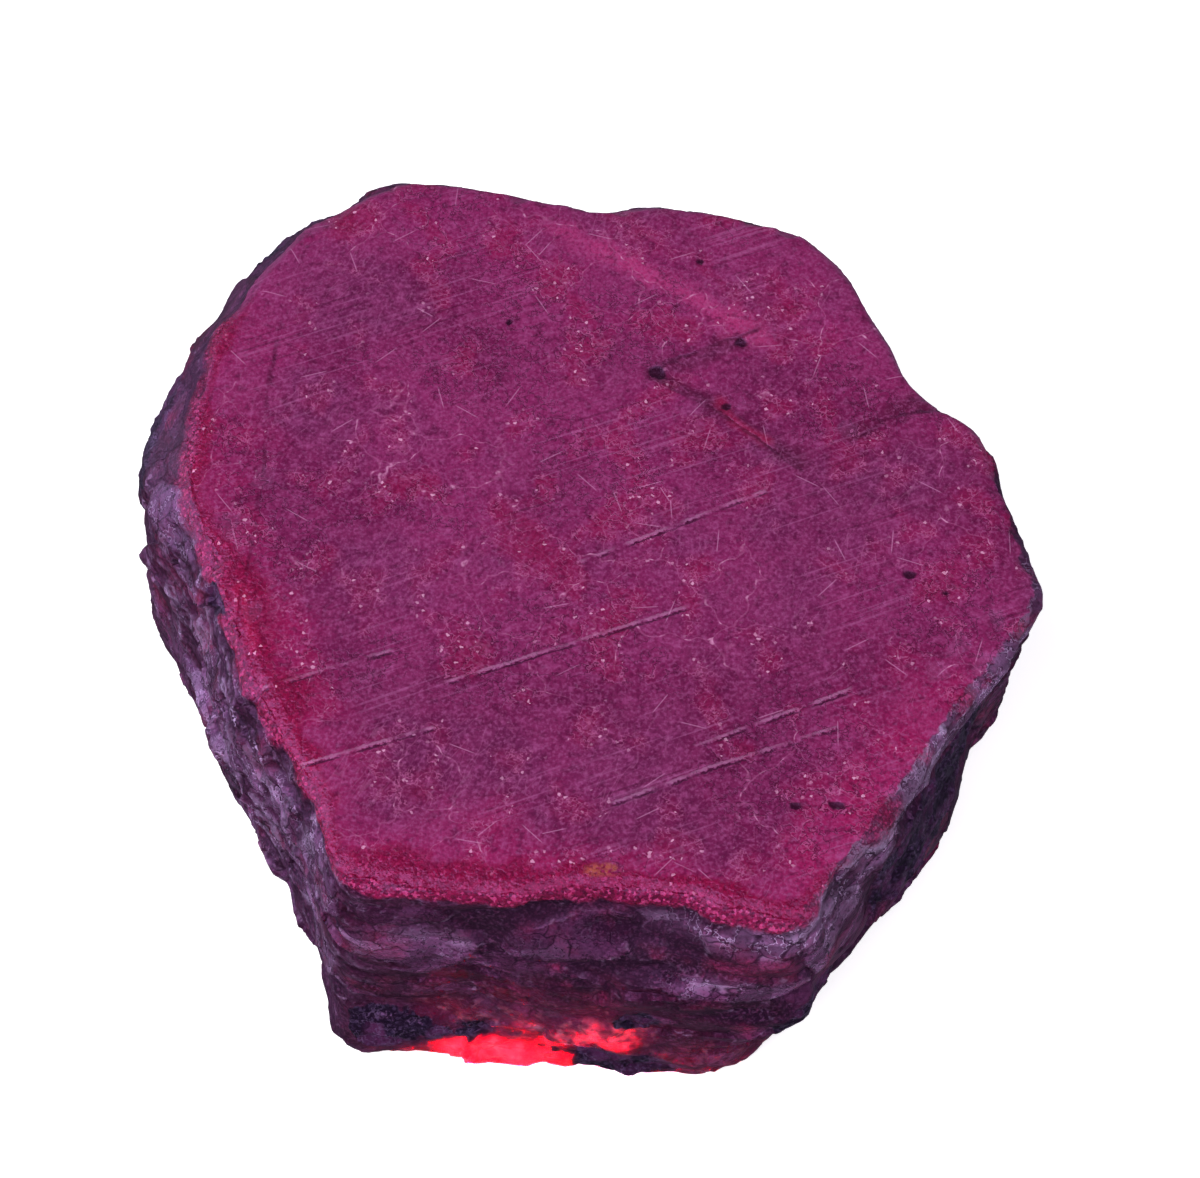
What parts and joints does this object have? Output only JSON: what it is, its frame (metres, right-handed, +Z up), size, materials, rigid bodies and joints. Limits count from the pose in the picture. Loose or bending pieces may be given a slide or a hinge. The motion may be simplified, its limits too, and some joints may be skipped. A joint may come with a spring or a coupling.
{
  "type": "raw ruby crystal",
  "caption": "Short six-sided prism of raw ruby with a flat ground top, rough parted walls with dark mica, and a flat base to rest on.",
  "frame": {"origin": "middle of the crystal's bounding box, at the level of its flat base", "axes": "+Z up, along the prism, towards the ground top; the widest straight wall faces -Y; +X to the right of it"},
  "size_m": [0.0434, 0.044, 0.015],
  "materials": {
    "ruby": "translucent deep raspberry corundum, ground matte on top, waxy to glassy on the natural walls, with black mica inclusions"
  },
  "bodies": {
    "root": {"ruby_crystal": "ruby"}
  },
  "joints": []
}
